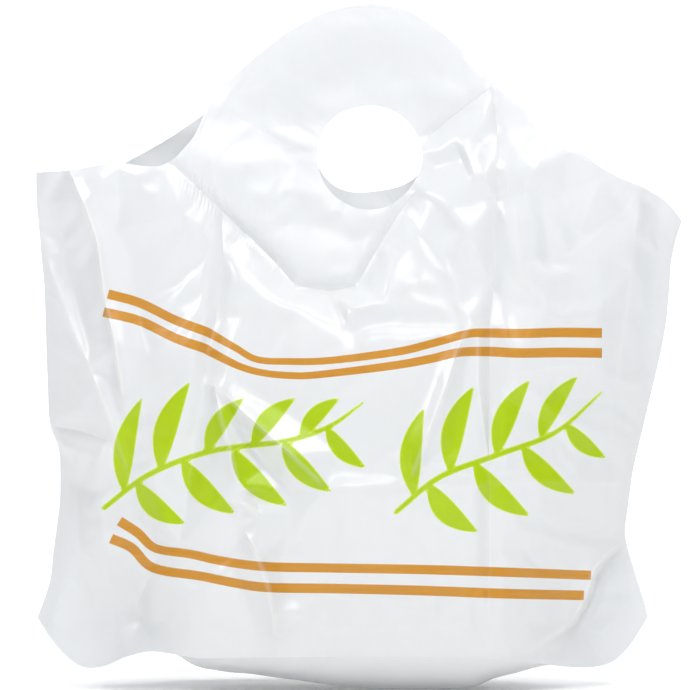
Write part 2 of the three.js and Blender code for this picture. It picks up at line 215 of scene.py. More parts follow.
# Each panel is a net of nearly flat facets between folds.
# A fold is (how crisp its line is, its points as (x, y, height in mm)); the facets between are triangulated.
FRONT_FOLDS = [
    # the outline under the hand hole, where the upright neck meets the body
    (1.0, [(158, 160, 0.5), (172, 164, -1.0), (205, 194, -3.0), (222, 210, -3.6), (250, 237, -4.8), (275, 262, -5.6), (296, 286, -6.2)]),
    (0.8, [(296, 286, -6.2), (330, 291, -6.0), (357, 286, -5.8)]),
    (0.8, [(357, 286, -5.8), (370, 262, -4.4), (386, 235, -1.6), (402, 209, 1.2), (418, 190, 4.0)]),
    (0.0, [(140, 184, 0.4), (182, 213, 1.6), (202, 232, 1.9), (238, 272, 1.8), (264, 292, 1.2), (292, 306, 0.4)]),
    (0.0, [(374, 300, 0.6), (394, 268, 1.6), (410, 240, 2.6), (428, 214, 4.4), (438, 196, 5.6)]),
    (0.3, [(244, 222, -0.6), (280, 226, 0.6), (312, 224, 2.0), (345, 216, 4.4)]),
    (0.0, [(345, 216, 4.4), (350, 240, 1.0), (357, 286, -5.8)]),
    # left packing fold, a shallow pleat, and its fan
    (0.9, [(207, 114, 5.0), (213, 160, 2.6), (222, 210, -3.6)]),
    (0.8, [(222, 210, -3.6), (223, 262, -1.8), (216, 318, -3.0), (208, 350, -3.2), (205, 385, -3.6)]),
    (0.5, [(205, 385, -3.6), (197, 430, -3.4), (187, 500, -2.4), (178, 548, -0.8)]),
    (0.0, [(208, 262, 0.9), (203, 318, 1.4), (194, 352, 1.2), (186, 392, 0.9), (176, 440, 0.9)]),
    (0.0, [(240, 318, 0.6), (232, 348, 0.2), (228, 372, 0.2)]),
    (1.0, [(205, 385, -3.6), (214, 386, -0.6), (237, 406, 3.6), (262, 429, 6.4), (290, 454, 7.0), (325, 487, 4.0)]),
    (1.0, [(214, 386, -0.6), (221, 419, 4.6), (230, 449, 6.6), (238, 486, 5.6)]),
    (0.0, [(228, 412, -1.0), (244, 440, -3.4), (266, 468, -3.0), (290, 494, -0.6)]),
    (0.0, [(258, 396, -0.4), (296, 420, 0.0), (338, 452, 1.0)]),
    (0.0, [(206, 424, -2.0), (212, 470, -0.6), (218, 500, 0.6)]),
    # crumple at the foot of the fan
    (0.9, [(238, 486, 4.4), (247, 492, 1.2), (260, 488, 3.8)]),
    (0.9, [(228, 503, 2.6), (244, 504, 4.6), (262, 514, 3.2)]),
    (0.8, [(244, 504, 4.6), (236, 522, 1.2)]),
    (0.7, [(247, 492, 1.2), (256, 502, 0.6), (262, 514, 3.2)]),
    # crease that runs down from it to a point
    (0.9, [(244, 530, 2.0), (258, 556, 4.6), (268, 585, 5.4), (274, 615, 5.0), (277, 642, 2.6)]),
    (0.4, [(277, 642, 2.2), (300, 615, 1.2), (318, 594, 0.0)]),
    (0.0, [(232, 562, 0.2), (246, 600, -0.8), (262, 640, -0.4)]),
    (0.0, [(278, 560, -1.0), (290, 596, -1.2)]),
    # level packing fold
    (1.0, [(325, 487, 3.2), (365, 486, 3.0), (400, 484, 2.8), (411, 478, 2.8)]),
    (0.5, [(411, 478, 2.8), (430, 464, 2.2), (460, 462, 1.8), (489, 462, -0.2)]),
    (0.4, [(400, 484, 2.8), (450, 487, 2.4), (489, 486, 0.2)]),
    (0.5, [(489, 484, 0.2), (540, 482, 1.6), (590, 482, 1.4), (632, 484, 0.6)]),
    # right packing fold and the streaks beside it
    (0.9, [(491, 88, 3.0), (497, 130, 2.4), (496, 200, 0.2), (493, 290, -1.4), (490, 320, -1.8), (489, 400, -2.0), (489, 462, -0.2)]),
    (0.9, [(489, 462, -0.2), (489, 486, 0.2), (489, 560, -1.0), (486, 648, -0.4)]),
    (0.0, [(504, 300, 0.8), (503, 400, 1.0), (504, 470, 2.0), (503, 560, 0.9), (502, 640, 0.6)]),
    (0.9, [(470, 322, 2.2), (458, 350, 4.0), (446, 385, 5.0), (430, 430, 5.0), (411, 478, 3.2)]),
    (0.8, [(478, 334, 1.4), (479, 385, 2.2), (484, 425, 1.4), (489, 462, -0.2)]),
    (0.0, [(468, 360, 0.6), (462, 410, 0.2), (452, 446, 0.8)]),
    (0.0, [(438, 352, 0.6), (424, 390, 0.6), (404, 440, 0.8)]),
    (1.0, [(350, 310, 1.8), (380, 303, 1.4)]),
    (0.0, [(346, 300, -1.2), (378, 295, -1.0)]),
    # from the mouth at the right fold to the hand hole
    (0.9, [(491, 88, 3.0), (458, 112, 0.4), (434, 132, 0.4), (420, 145, 3.0)]),
    (0.0, [(484, 112, 4.6), (458, 134, 4.4), (440, 150, 4.6)]),
    (0.5, [(426, 152, 4.4), (434, 166, 3.2), (446, 180, 4.6)]),
    (0.6, [(455, 143, 4.4), (462, 160, 2.8), (470, 180, 4.6)]),
    (0.6, [(466, 140, 4.8), (476, 162, 3.0), (482, 178, 4.4)]),
    (0.5, [(461, 140, 5.4), (470, 160, 5.2), (476, 178, 5.0)]),
    (0.4, [(424, 190, 5.4), (438, 196, 5.6), (444, 226, 3.4)]),
    # puckers left of the hand hole
    (0.5, [(222, 108, 5.4), (262, 131, 4.0), (300, 150, 6.4), (316, 156, 8.2)]),
    (0.6, [(280, 152, 6.0), (300, 143, 8.6), (317, 150, 8.0)]),
    (0.5, [(268, 128, 6.6), (296, 126, 6.0), (314, 134, 8.0)]),
    (0.4, [(234, 96, 5.2), (262, 86, 6.2), (276, 92, 5.2)]),
    # left side
    (1.0, [(68, 168, 3.4), (84, 204, 5.2), (97, 242, 6.2), (103, 290, 6.0), (114, 342, 4.4), (122, 396, 1.6)]),
    (0.0, [(46, 200, -0.6), (60, 236, -2.0), (72, 290, -2.4), (86, 344, -1.0)]),
    (0.4, [(118, 172, 0.8), (120, 205, 0.2), (118, 232, 1.2)]),
    (0.0, [(118, 232, 1.2), (130, 262, 0.4), (134, 300, 0.2), (146, 350, 0.0)]),
    (0.6, [(46, 256, 0.4), (74, 328, 1.6), (90, 368, 1.6), (106, 410, 1.4), (128, 474, -0.8)]),
    (0.0, [(112, 376, -0.6), (124, 430, -1.2)]),
    (0.9, [(50, 426, 0.0), (80, 431, -1.8), (107, 441, 0.6)]),
    (0.0, [(52, 404, 0.6), (80, 410, 1.6), (100, 422, 1.6)]),
    (0.0, [(60, 448, 2.2), (82, 452, 2.6), (94, 456, 2.0)]),
    (0.7, [(107, 441, 0.6), (98, 460, 3.4)]),
    (0.7, [(107, 441, 0.6), (128, 474, -0.8), (150, 530, -3.2), (158, 556, -2.0)]),
    (0.0, [(150, 470, 1.2), (166, 522, 1.2)]),
    (0.6, [(150, 574, -1.6), (138, 604, -3.2), (143, 626, -3.2), (152, 642, -1.4)]),
    (0.3, [(72, 452, 0.4), (76, 484, -3.0), (80, 560, 1.6), (92, 640, 4.0)]),
    (0.0, [(62, 474, -2.0), (60, 540, 1.6), (52, 600, 3.8)]),
    (0.0, [(98, 490, 0.6), (106, 560, 2.2), (118, 620, 4.6), (126, 648, 4.2)]),
    # right shoulder and side
    (0.8, [(512, 198, 0.6), (520, 268, 5.8)]),
    (0.6, [(520, 268, 5.8), (536, 262, 4.0), (556, 276, 5.2)]),
    (0.5, [(512, 198, 0.6), (524, 218, 2.6), (541, 208, 0.2)]),
    (0.6, [(641, 190, 3.8), (625, 213, 2.2), (600, 231, 2.0), (572, 252, 1.8), (548, 264, 0.8)]),
    (0.0, [(628, 240, 4.0), (598, 256, 3.6), (574, 270, 2.6)]),
    (0.5, [(548, 148, 1.4), (534, 170, 2.6), (524, 190, 1.2)]),
    (0.3, [(603, 176, 0.4), (590, 204, 1.8), (578, 238, 0.6)]),
    (0.5, [(641, 190, 3.8), (635, 232, 3.4), (632, 272, 3.0), (626, 318, 2.0), (618, 380, 1.0)]),
    (0.4, [(648, 226, 0.4), (640, 236, 2.4), (656, 244, -0.6)]),
    (0.0, [(656, 212, -1.0), (654, 262, -1.6), (650, 310, -1.2), (644, 370, -1.2)]),
    (0.6, [(545, 308, 7.0), (556, 303, 5.6), (563, 316, 7.2), (572, 306, 5.8)]),
    (0.4, [(510, 374, 4.0), (548, 368, 3.4), (598, 366, 4.4)]),
    (0.5, [(536, 416, 0.2), (550, 408, 1.4), (562, 398, 0.2)]),
    (0.4, [(606, 452, 0.2), (620, 438, 1.2), (640, 424, 0.4)]),
    (0.4, [(640, 380, 0.8), (612, 402, 0.2), (588, 428, 1.2)]),
    # tuck at the lower right
    (0.9, [(622, 544, 0.6), (605, 557, 3.6), (594, 571, 6.2), (588, 590, 6.8), (582, 606, 6.0), (573, 622, 4.0)]),
    (0.0, [(628, 553, -4.6), (613, 567, -8.0), (603, 579, -9.6), (597, 595, -9.6), (590, 611, -8.6), (580, 626, -6.4)]),
    (0.8, [(573, 622, 4.0), (558, 634, 2.8), (535, 648, 1.4), (508, 664, 0.2)]),
    (0.0, [(580, 626, -6.4), (563, 641, -4.6), (541, 655, -2.6), (514, 668, -1.0)]),
    (0.4, [(580, 626, -6.4), (600, 632, -5.0), (616, 618, -6.4)]),
    (0.0, [(580, 562, 3.6), (572, 588, 4.6), (558, 612, 3.2), (536, 630, 1.4)]),
    # slow level waves above the base
    (0.2, [(196, 604, 0.6), (232, 622, -0.6), (258, 650, 0.2)]),
    (0.0, [(330, 600, -1.2), (400, 606, -0.8), (470, 598, -0.8)]),
    (0.0, [(330, 632, 1.2), (400, 626, 1.6), (470, 622, 1.4)]),
]
FRONT_POINTS = [(250, 165, 3.6), (290, 190, 6.6), (232, 150, 3.6), (322, 196, 9.6), (336, 214, 9.0), (368, 216, 8.0), (390, 208, 5.0), (322, 250, 0.4),
                (270, 244, -1.6), (300, 262, -2.0), (370, 90, 6.0), (330, 70, 4.0), (410, 95, 5.0), (440, 100, 4.0), (290, 90, 5.0), (330, 110, 8.0),
                (372, 235, 0.8), (360, 255, -1.8), (450, 210, 6.0), (470, 234, 5.4), (560, 196, -1.4), (600, 310, 6.4), (634, 592, -9.0), (612, 648, -6.0)]
BACK_FOLDS = [
    (0.8, [(196, 130, 1.0), (198, 300, -2.0), (196, 480, -1.6), (192, 648, -0.6)]),
    (0.8, [(488, 90, 1.0), (486, 300, -1.8), (487, 484, -1.0), (486, 648, -0.6)]),
    (0.6, [(60, 486, 1.0), (194, 487, -1.2)]),
    (0.7, [(200, 487, 1.4), (340, 486, 3.0), (484, 485, 0.2)]),
    (0.5, [(492, 485, 0.6), (630, 484, 1.0)]),
    (0.9, [(478, 100, 2.0), (452, 190, -3.0), (400, 262, -5.0), (350, 292, -4.4)]),
    (0.8, [(212, 124, 2.0), (250, 200, -3.0), (300, 264, -5.0), (350, 292, -4.4)]),
    (0.0, [(484, 160, 2.0), (444, 240, 1.8), (400, 296, 1.2), (350, 326, 0.6), (290, 300, 1.4), (240, 240, 1.8)]),
    (0.9, [(350, 326, 0.6), (330, 390, 4.2), (286, 450, 4.4), (240, 478, 2.6)]),
    (0.0, [(300, 372, 0.2), (250, 420, -0.6)]),
    (0.8, [(430, 330, 0.6), (450, 396, 3.8), (476, 440, 2.0)]),
    (0.7, [(640, 200, 3.4), (606, 262, 3.2), (566, 330, 2.4), (530, 420, 1.0)]),
    (0.7, [(72, 190, 3.4), (104, 260, 4.2), (126, 340, 3.4), (160, 420, 1.2)]),
    (0.8, [(50, 440, -0.4), (110, 446, -1.6), (160, 500, 1.2)]),
    (0.9, [(622, 540, -0.8), (572, 528, 3.6), (520, 560, 2.4)]),
    (0.8, [(250, 520, 1.0), (284, 580, 3.8), (300, 646, 1.6)]),
    (0.8, [(430, 500, 1.0), (404, 570, 3.6), (420, 648, 1.4)]),
    (0.7, [(130, 540, 1.0), (158, 600, 3.4), (178, 646, 1.2)]),
    (0.8, [(560, 572, -1.0), (572, 612, -4.4), (548, 650, -2.2)]),
]
BACK_POINTS = [(330, 212, -15.0), (370, 216, -16.0), (408, 208, -15.0), (350, 240, -10.0), (300, 190, -10.0), (430, 180, -9.0), (370, 90, 2.0), (300, 110, 2.0), (440, 120, 2.0),
               (318, 160, -9.0), (420, 160, -9.0)]
# the hem of the wave top: a shallow step that follows the dome
HEM = [(222, 108), (236, 88), (262, 66), (300, 42), (340, 30), (374, 27), (410, 31), (440, 46), (466, 70), (484, 92)]
GRID = 720            # the height map's side, in elevation units, from -10 to 709


def segments(folds):
    out = []
    for crisp, pts in folds:
        for a, b in zip(pts[:-1], pts[1:]):
            out.append((a[0], a[1], b[0], b[1], crisp))
    return out


def to_segments(px, py, segs):
    """Distance to the nearest of the segments."""
    best = np.full(px.shape, 1e9)
    for ax, ay, bx, by, _ in segs:
        L2 = (bx - ax) ** 2 + (by - ay) ** 2
        t = np.clip(((px - ax) * (bx - ax) + (py - ay) * (by - ay)) / L2, 0, 1)
        best = np.minimum(best, np.hypot(px - ax - t * (bx - ax), py - ay - t * (by - ay)))
    return best


def facets(folds, points, seed, spacing, loose):
    """Height map of the net: folds and points as given, small random facets between, all straight-sided."""
    rng = np.random.default_rng(seed)
    nodes, index, edges = [], {}, []

    def node(x, y, h):
        key = (round(x), round(y))
        if key not in index:
            index[key] = len(nodes)
            nodes.append((float(x), float(y), float(h)))
        return index[key]

    for _, pts in folds:
        ids = [node(*p) for p in pts]
        edges += [(a, b) for a, b in zip(ids[:-1], ids[1:]) if a != b]
    for p in points:
        node(*p)
    fixed = np.array(nodes or [(-999.0, -999.0, 0.0)])
    segs = segments(folds)
    gx, gy = np.meshgrid(np.arange(10, 700, spacing), np.arange(10, 700, spacing))
    gx = (gx + rng.uniform(-0.4, 0.4, gx.shape) * spacing).ravel()
    gy = (gy + rng.uniform(-0.4, 0.4, gy.shape) * spacing).ravel()
    gh = rng.normal(0, loose, gx.shape)
    free = (to_segments(gx, gy, segs) > 0.42 * spacing) & (np.min(np.hypot(gx[:, None] - fixed[:, 0], gy[:, None] - fixed[:, 1]), 1) > 0.5 * spacing)
    # a loose node starts from the mean height of the folds around it
    d = np.hypot(gx[:, None] - fixed[:, 0], gy[:, None] - fixed[:, 1])
    w = np.exp(-(d / 55.0) ** 2)
    mean = (w * fixed[:, 2]).sum(1) / (w.sum(1) + 0.35)
    for x, y, h in zip(gx[free], gy[free], (gh + mean)[free]):
        node(x, y, h)
    for x, y in ((-60, -60), (780, -60), (780, 780), (-60, 780)):
        node(x, y, 0.0)
    vs, _, fs, origin, _, _ = delaunay_2d_cdt([Vector((x, y)) for x, y, _ in nodes], edges, [], 0, 1e-5)
    known = np.array(nodes)
    hs = []
    for v, o in zip(vs, origin):
        if o:
            hs.append(nodes[o[0]][2])
        else:
            near = np.argsort(np.hypot(known[:, 0] - v.x, known[:, 1] - v.y))[:2]
            hs.append(float(known[near, 2].mean()))
    H = np.zeros((GRID, GRID))
    for f in fs:
        (x0, y0), (x1, y1), (x2, y2) = [(vs[i].x, vs[i].y) for i in f]
        h0, h1, h2 = [hs[i] for i in f]
        i0, i1 = max(0, int(math.floor(min(x0, x1, x2))) + 10), min(GRID - 1, int(math.ceil(max(x0, x1, x2))) + 10)
        j0, j1 = max(0, int(math.floor(min(y0, y1, y2))) + 10), min(GRID - 1, int(math.ceil(max(y0, y1, y2))) + 10)
        if i1 < i0 or j1 < j0:
            continue
        X, Y = np.meshgrid(np.arange(i0, i1 + 1) - 10.0, np.arange(j0, j1 + 1) - 10.0, indexing="ij")
        det = (y1 - y2) * (x0 - x2) + (x2 - x1) * (y0 - y2)
        if abs(det) < 1e-9:
            continue
        a = ((y1 - y2) * (X - x2) + (x2 - x1) * (Y - y2)) / det
        b = ((y2 - y0) * (X - x2) + (x0 - x2) * (Y - y2)) / det
        c = 1 - a - b
        m = (a >= -1e-6) & (b >= -1e-6) & (c >= -1e-6)
        H[i0:i1 + 1, j0:j1 + 1][m] = (a * h0 + b * h1 + c * h2)[m]
    return H


def blurred(H, sigma):
    k = int(math.ceil(3 * sigma))
    w = np.exp(-0.5 * (np.arange(-k, k + 1) / sigma) ** 2)
    w /= w.sum()
    P = np.pad(H, ((k, k), (0, 0)), "edge")
    H = sum(w[i] * P[i:i + H.shape[0]] for i in range(2 * k + 1))
    P = np.pad(H, ((0, 0), (k, k)), "edge")
    return sum(w[i] * P[:, i:i + H.shape[1]] for i in range(2 * k + 1))


def sample(H, px, py):
    x, y = np.clip(px + 10, 0, GRID - 1.001), np.clip(py + 10, 0, GRID - 1.001)
    i, j = x.astype(int), y.astype(int)
    fx, fy = x - i, y - j
    return lerp(lerp(H[i, j], H[i + 1, j], fx), lerp(H[i, j + 1], H[i + 1, j + 1], fx), fy)


def dense_line(pts, step=4.0):
    p = np.array([(q[0], q[1]) for q in pts], float)
    out = []
    for a, b in zip(p[:-1], p[1:]):
        n = max(1, int(np.hypot(*(b - a)) / step))
        out += [a + (b - a) * k / n for k in range(n)]
    return np.array(out + [p[-1]])


GROUPS = 5


def grouped(folds, reach):
    """Crisp folds, shared out so that those of one group lie clear of each other."""
    groups = [[] for _ in range(GROUPS)]
    for fold in sorted((f for f in folds if f[0] >= 0.25), key=lambda f: -f[0]):
        line = dense_line(fold[1])
        gaps = []
        for g in groups:
            gap = 1e9
            for other in g:
                o = dense_line(other[1])
                gap = min(gap, float(np.hypot(line[:, None, 0] - o[None, :, 0], line[:, None, 1] - o[None, :, 1]).min()))
            gaps.append(gap)
        clear = [k for k, gap in enumerate(gaps) if gap > 1.9 * reach]
        k = clear[0] if clear else int(np.argmax(gaps))
        groups[k].append(fold)
    return groups


def fold_lines(px, py, folds, H, reach=13.0):
    """For each group, the signed distance to its nearest fold, and how sharply that is bent: + a crest, - a valley."""
    out = []
    for group in grouped(folds, reach):
        best = np.full(px.shape, 1e9)
        sd, amp = np.full(px.shape, reach), np.zeros(px.shape)
        for crisp, pts in group:
            p = np.array([(q[0], q[1]) for q in pts], float)
            m0, m1 = (p[:-1] + p[1:]) / 2, p[1:] - p[:-1]
            n = np.stack([m1[:, 1], -m1[:, 0]], 1) / np.hypot(m1[:, 0], m1[:, 1])[:, None]
            here = sample(H, m0[:, 0], m0[:, 1])
            beside = 0.5 * (sample(H, *(m0 + 9 * n).T) + sample(H, *(m0 - 9 * n).T))
            bend = float(np.clip((here - beside).mean() / 1.6, -1, 1))
            bend = math.copysign(max(abs(bend), 0.25), bend)
            d, s, t = along(px, py, p)
            total = np.hypot(*m1.T).sum()
            m = d < best
            best = np.where(m, d, best)
            sd = np.where(m, np.where(s == 0, 1, s) * np.minimum(d, reach), sd)
            ends = np.clip(np.minimum(t, 1 - t) * total / 10.0, 0, 1)
            amp = np.where(m, crisp * bend * ends * smooth(reach, reach - 7, d), amp)
        out.append((sd, amp))
    return out


MAPS = {}
for side, folds, points, seed in ((-1, FRONT_FOLDS, FRONT_POINTS, 51), (1, BACK_FOLDS, BACK_POINTS, 82)):
    H = 1.8 * facets(folds, points, seed, 44.0, 0.45 if side < 0 else 0.9)
    MAPS[side] = (blurred(H, 5.0), blurred(H, 2.6))


# the hood round the hand hole, a smooth double layer that the outline folds bound
HOOD = [(158, 160), (205, 194), (250, 237), (296, 286), (357, 286), (386, 235), (418, 190), (424, 146), (491, 88), (480, 40), (410, 5),
        (330, 5), (240, 40), (207, 100)]


def hood(px, py):
    """1 well inside the hood, 0 outside it."""
    ring = HOOD + [HOOD[0]]
    d, s, t = along(px, py, ring)
    inside = np.zeros(px.shape, bool)
    for (ax, ay), (bx, by) in zip(ring[:-1], ring[1:]):
        if ay != by:
            inside ^= ((ay > py) != (by > py)) & (px < (bx - ax) * (py - ay) / (by - ay) + ax)
    return smooth(-1, 10, np.where(inside, d, -d))


def relief(px, py, side, seed):
    """Outward relief of one panel in mm: facets, softened to what the simulation's mesh can hold, the hem's step and slow waves."""
    r = sample(MAPS[side][0], px, py)
    if side < 0:
        calm = hood(px, py)
        r *= 1 - 0.4 * calm
        r = lerp(r, 3.0, 0.7 * calm * smooth(165, 115, py))
    d, s, t = along(px, py, smooth_path(HEM, 5))
    r -= 1.2 * smooth(0, 7, s * d) * np.clip(np.minimum(t, 1 - t) / 0.06, 0, 1) * (d < 60)
    r += 2.2 * noise(px / 165 + seed, py / 190 + 1.7, seed + 1)
    r += 0.15 * noise(px / 62 + py / 240, py / 110 - px / 300, seed + 2)
    return r


def fine_relief(px, py, side, seed):
    """What the simulation's mesh is too coarse for: the facets' edges."""
    r = sample(MAPS[side][1], px, py) - sample(MAPS[side][0], px, py)
    if side < 0:
        r *= 1 - 0.5 * hood(px, py)
    patch = smooth(-0.1, 0.3, noise(px / 120 + seed, py / 110, seed + 3))
    r += 0.10 * patch * (0.4 - cells(px / 22, py / 30, seed + 7))
    return r


# ---------------------------------------------------------------- print on the front, in elevation units
# each stripe: (x, y, half width)
STRIPES = [
    [(108, 294, 4.7), (140, 303, 4.6), (175, 320, 4.5), (206, 331.5, 4.6), (212, 334.5, 4.2), (235, 347.5, 3.4), (257, 359.5, 3.3), (290, 361.5, 3.4), (330, 360.5, 3.6), (396, 352, 4.0), (430, 344, 4.0), (467, 334, 4.1), (486, 333, 4.6), (520, 333.5, 4.6), (560, 332.5, 4.8), (602, 333, 4.9)],
    [(103.5, 312, 4.8), (140, 321, 4.7), (175, 338, 4.6), (205, 348.5, 4.8), (211, 352, 4.4), (240, 366.5, 3.5), (264, 373, 3.4), (290, 375.5, 3.5), (317, 374.8, 3.6), (390, 366, 4.1), (430, 359, 4.3), (458, 352.5, 4.4), (486, 351.5, 4.8), (520, 353, 4.8), (560, 352.5, 4.9), (602, 353, 4.9)],
    [(119.5, 521, 4.9), (138, 533, 4.8), (156, 548.5, 4.2), (190, 554, 4.4), (222, 561, 4.5), (264, 566.5, 4.6), (330, 568, 4.6), (420, 569.5, 4.7), (500, 572, 4.7), (591, 575.3, 4.6)],
    [(111, 538.5, 4.9), (132, 548, 4.8), (153.5, 568, 4.6), (200, 576, 4.5), (235, 583, 4.6), (268, 587.5, 4.8), (330, 588.5, 4.8), (420, 590.5, 4.9), (500, 593.5, 4.9), (584, 595.4, 4.8)],
]


def stripe_fields(px, py):
    """For each stripe, how far off its middle line a point is, in half widths, and how far inside its two cut ends."""
    off, cut = [], []
    for row in STRIPES:
        pts = [(x, y) for x, y, _ in row]
        path = smooth_path(pts, 6)
        d, s, t = along(px, py, path)
        half = np.interp(px, [r[0] for r in row], [r[2] for r in row])
        off.append(np.clip(d * s / half, -9, 9))
        a, b = np.array(pts[0]), np.array(pts[1])
        c, e = np.array(pts[-1]), np.array(pts[-2])
        n0, n1 = (b - a) / np.hypot(*(b - a)), (e - c) / np.hypot(*(e - c))
        cut.append(np.clip(np.minimum((px - a[0]) * n0[0] + (py - a[1]) * n0[1], (px - c[0]) * n1[0] + (py - c[1]) * n1[1]), -9, 9))
    return off, cut


# plain leaf sprigs in two clumps: (base, tip, half width, bend)
STEMS = [
    [(104, 508, 2.6), (150, 474, 3.0), (212, 451, 3.0), (286, 441, 2.8), (330, 426, 2.4), (364, 402, 1.2)],
    [(396, 512, 2.6), (440, 477, 3.0), (500, 454, 3.0), (556, 432, 2.6), (602, 392, 1.2)],
]
LEAVES = [
    ((124, 492), (142, 398), 10.5, 8), ((160, 470), (190, 382), 11.5, 8), ((206, 452), (244, 398), 9.5, 6), ((252, 446), (296, 398), 9.5, 6),
    ((300, 438), (340, 398), 8.5, 5), ((136, 482), (186, 524), 10.5, -7), ((182, 460), (236, 514), 11.5, -7), ((232, 449), (288, 506), 11.5, -7),
    ((282, 441), (332, 492), 10.5, -6), ((326, 427), (366, 468), 8.5, -5),
    ((414, 496), (424, 408), 11.0, 8), ((450, 472), (474, 386), 11.5, 8), ((496, 455), (530, 380), 11.0, 7), ((540, 438), (578, 376), 9.5, 6),
    ((428, 484), (478, 532), 11.5, -7), ((474, 463), (530, 516), 11.5, -7), ((522, 446), (576, 494), 10.5, -6), ((566, 424), (606, 458), 8.5, -4),
]


def leaf_field(px, py):
    """Signed distance, near enough, into the stems and leaves."""
    f = np.full(px.shape, -50.0)
    for row in STEMS:
        p = smooth_path(row, 10)
        for a, b in zip(p[:-1], p[1:]):
            L2 = max(1e-9, (b[0] - a[0]) ** 2 + (b[1] - a[1]) ** 2)
            t = np.clip(((px - a[0]) * (b[0] - a[0]) + (py - a[1]) * (b[1] - a[1])) / L2, 0, 1)
            f = np.maximum(f, a[2] + t * (b[2] - a[2]) - np.hypot(px - a[0] - t * (b[0] - a[0]), py - a[1] - t * (b[1] - a[1])))
    for a, b, w, bend in LEAVES:
        a, b = np.array(a, float), np.array(b, float)
        L = np.hypot(*(b - a))
        d = (b - a) / L
        t = ((px - a[0]) * d[0] + (py - a[1]) * d[1]) / L
        n = (px - a[0]) * d[1] - (py - a[1]) * d[0]
        tc = np.clip(t, 0, 1)
        n = n - bend * 4 * tc * (1 - tc)
        half = w * (np.sin(math.pi * tc ** 0.85) ** 0.8)
        inside = half - np.abs(n)
        out = -np.hypot(np.maximum(np.abs(t - 0.5) - 0.5, 0) * L, np.maximum(np.abs(n) - half, 0))
        f = np.maximum(f, np.where((inside > 0) & (t > 0) & (t < 1), inside, out))
    return f


# ---------------------------------------------------------------- mesh
NU, NV = 104, 96


def panel(side, nu, nv):
    """Grid of one panel with rings round the hand hole: vertices in mm, faces, and which rows are its edges."""
    t = np.linspace(0, 1, nu + 1)
    us = t - 0.045 * np.sin(2 * math.pi * t) / (2 * math.pi) * 1.6
    vs = np.linspace(0, 1, nv + 1)
    i0, i1 = int(np.argmin(abs(us - 0.379))), int(np.argmin(abs(us - 0.664)))
    j0, j1 = int(np.argmin(abs(vs - 0.62))), int(np.argmin(abs(vs - 0.925)))
    U, V = np.meshgrid(us, vs, indexing="ij")
    X, Z = panel_xz(side, U, V)
    idx = -np.ones(U.shape, int)
    keep = np.ones(U.shape, bool)
    keep[i0 + 1:i1, j0 + 1:j1] = False
    idx[keep] = np.arange(keep.sum())
    x, z = list(X[keep]), list(Z[keep])
    u, v = list(U[keep]), list(V[keep])
    faces = []
    for i in range(nu):
        for j in range(nv):
            if i0 <= i < i1 and j0 <= j < j1:
                continue
            faces.append((idx[i, j], idx[i + 1, j], idx[i + 1, j + 1], idx[i, j + 1]))
    win = [(i, j0) for i in range(i0, i1)] + [(i1, j) for j in range(j0, j1)] \
        + [(i, j1) for i in range(i1, i0, -1)] + [(i0, j) for j in range(j1, j0, -1)]
    wx = np.array([X[i, j] for i, j in win])
    wz = np.array([Z[i, j] for i, j in win])
    hx, hz = hole_edge(side, np.arctan2(wz - HOLE_Z, wx - HOLE_X))
    ring = np.array([idx[i, j] for i, j in win])
    rings = 7
    n = len(x)
    for k in range(1, rings + 1):
        s = (k / rings)
        rx, rz = lerp(wx, hx, s), lerp(wz, hz, s)
        ru, rv = panel_uv(side, rx, rz)
        x += list(rx); z += list(rz); u += list(ru); v += list(rv)
        new = np.arange(n, n + len(win))
        n += len(win)
        for a in range(len(win)):
            b = (a + 1) % len(win)
            faces.append((ring[a], ring[b], new[b], new[a]))
        ring = new
    x, z, u, v = map(np.array, (x, z, u, v))
    y = side * depth_at(u, z)
    return dict(x=x, y=y, z=z, u=u, v=v, faces=faces, row0=idx[:, 0], hole=ring, us=us)


# the back panel's hole has slipped upward and to the right: its lower edge shows inside the front one
BACK_HOLE = [(-180, 41), (-150, 35), (-120, 28.5), (-100, 25), (-80, 24.5), (-60, 26), (-35, 33), (-15, 41), (0, 44), (45, 45), (90, 46), (135, 45), (180, 41)]


def hole_edge(side, angle):
    if side < 0:
        r = HOLE_R + 0.5 * np.sin(3 * angle + 0.4) + 0.35 * np.sin(5 * angle + 2)
    else:
        r = curve(BACK_HOLE, 9)(np.degrees(angle))
    return HOLE_X + r * np.cos(angle), HOLE_Z + r * np.sin(angle)


# lean of the dome and the seams' own slow waves, shared by both panels
def common(x, y, z):
    lean = -7.0 * smooth(300, 430, z) - 26.0 * smooth(385, 535, z)
    wave = 5.0 * np.sin(z / 61.0 + 0.8) * smooth(150, 245, np.abs(x)) + 3.0 * np.sin(z / 33.0 + 2.0) * smooth(190, 250, np.abs(x))
    return x, y + lean + wave * smooth(0, 60, z), z


SEEDS = {-1: 51, 1: 81}
parts = {}
for side in (-1, 1):
    p = panel(side, NU, NV)
    ex, ey = elevation(p["x"], p["y"], p["z"])
    s = np.abs(2 * p["u"] - 1)
    r = relief(ex, ey, side, SEEDS[side]) * smooth(1.0, 0.955, s)
    # the two layers stay apart where they lie close together at the dome
    near = smooth(440, 500, p["z"])
    r = lerp(r, np.clip(0.4 * r, -1.4, 3), near)
    d = np.maximum(np.abs(p["y"]) + r, 0.6 * smooth(1.0, 0.97, s))
    p["y"] = side * np.where(s > 1 - 1e-9, 0, d)
    parts[side] = p

verts, faces, labels = [], [], []


def add(x, y, z, fc, label):
    base = sum(len(v) for v in verts)
    x, y, z = common(x, y, z)
    verts.append(np.stack([x - SHIFT, y, z], 1))
    faces.extend([tuple(int(i) + base for i in f) for f in fc])
    labels.append(np.full(len(x), label))
    return base


base_f = add(parts[-1]["x"], parts[-1]["y"], parts[-1]["z"], parts[-1]["faces"], -1)
base_b = add(parts[1]["x"], parts[1]["y"], parts[1]["z"], [f[::-1] for f in parts[1]["faces"]], 1)

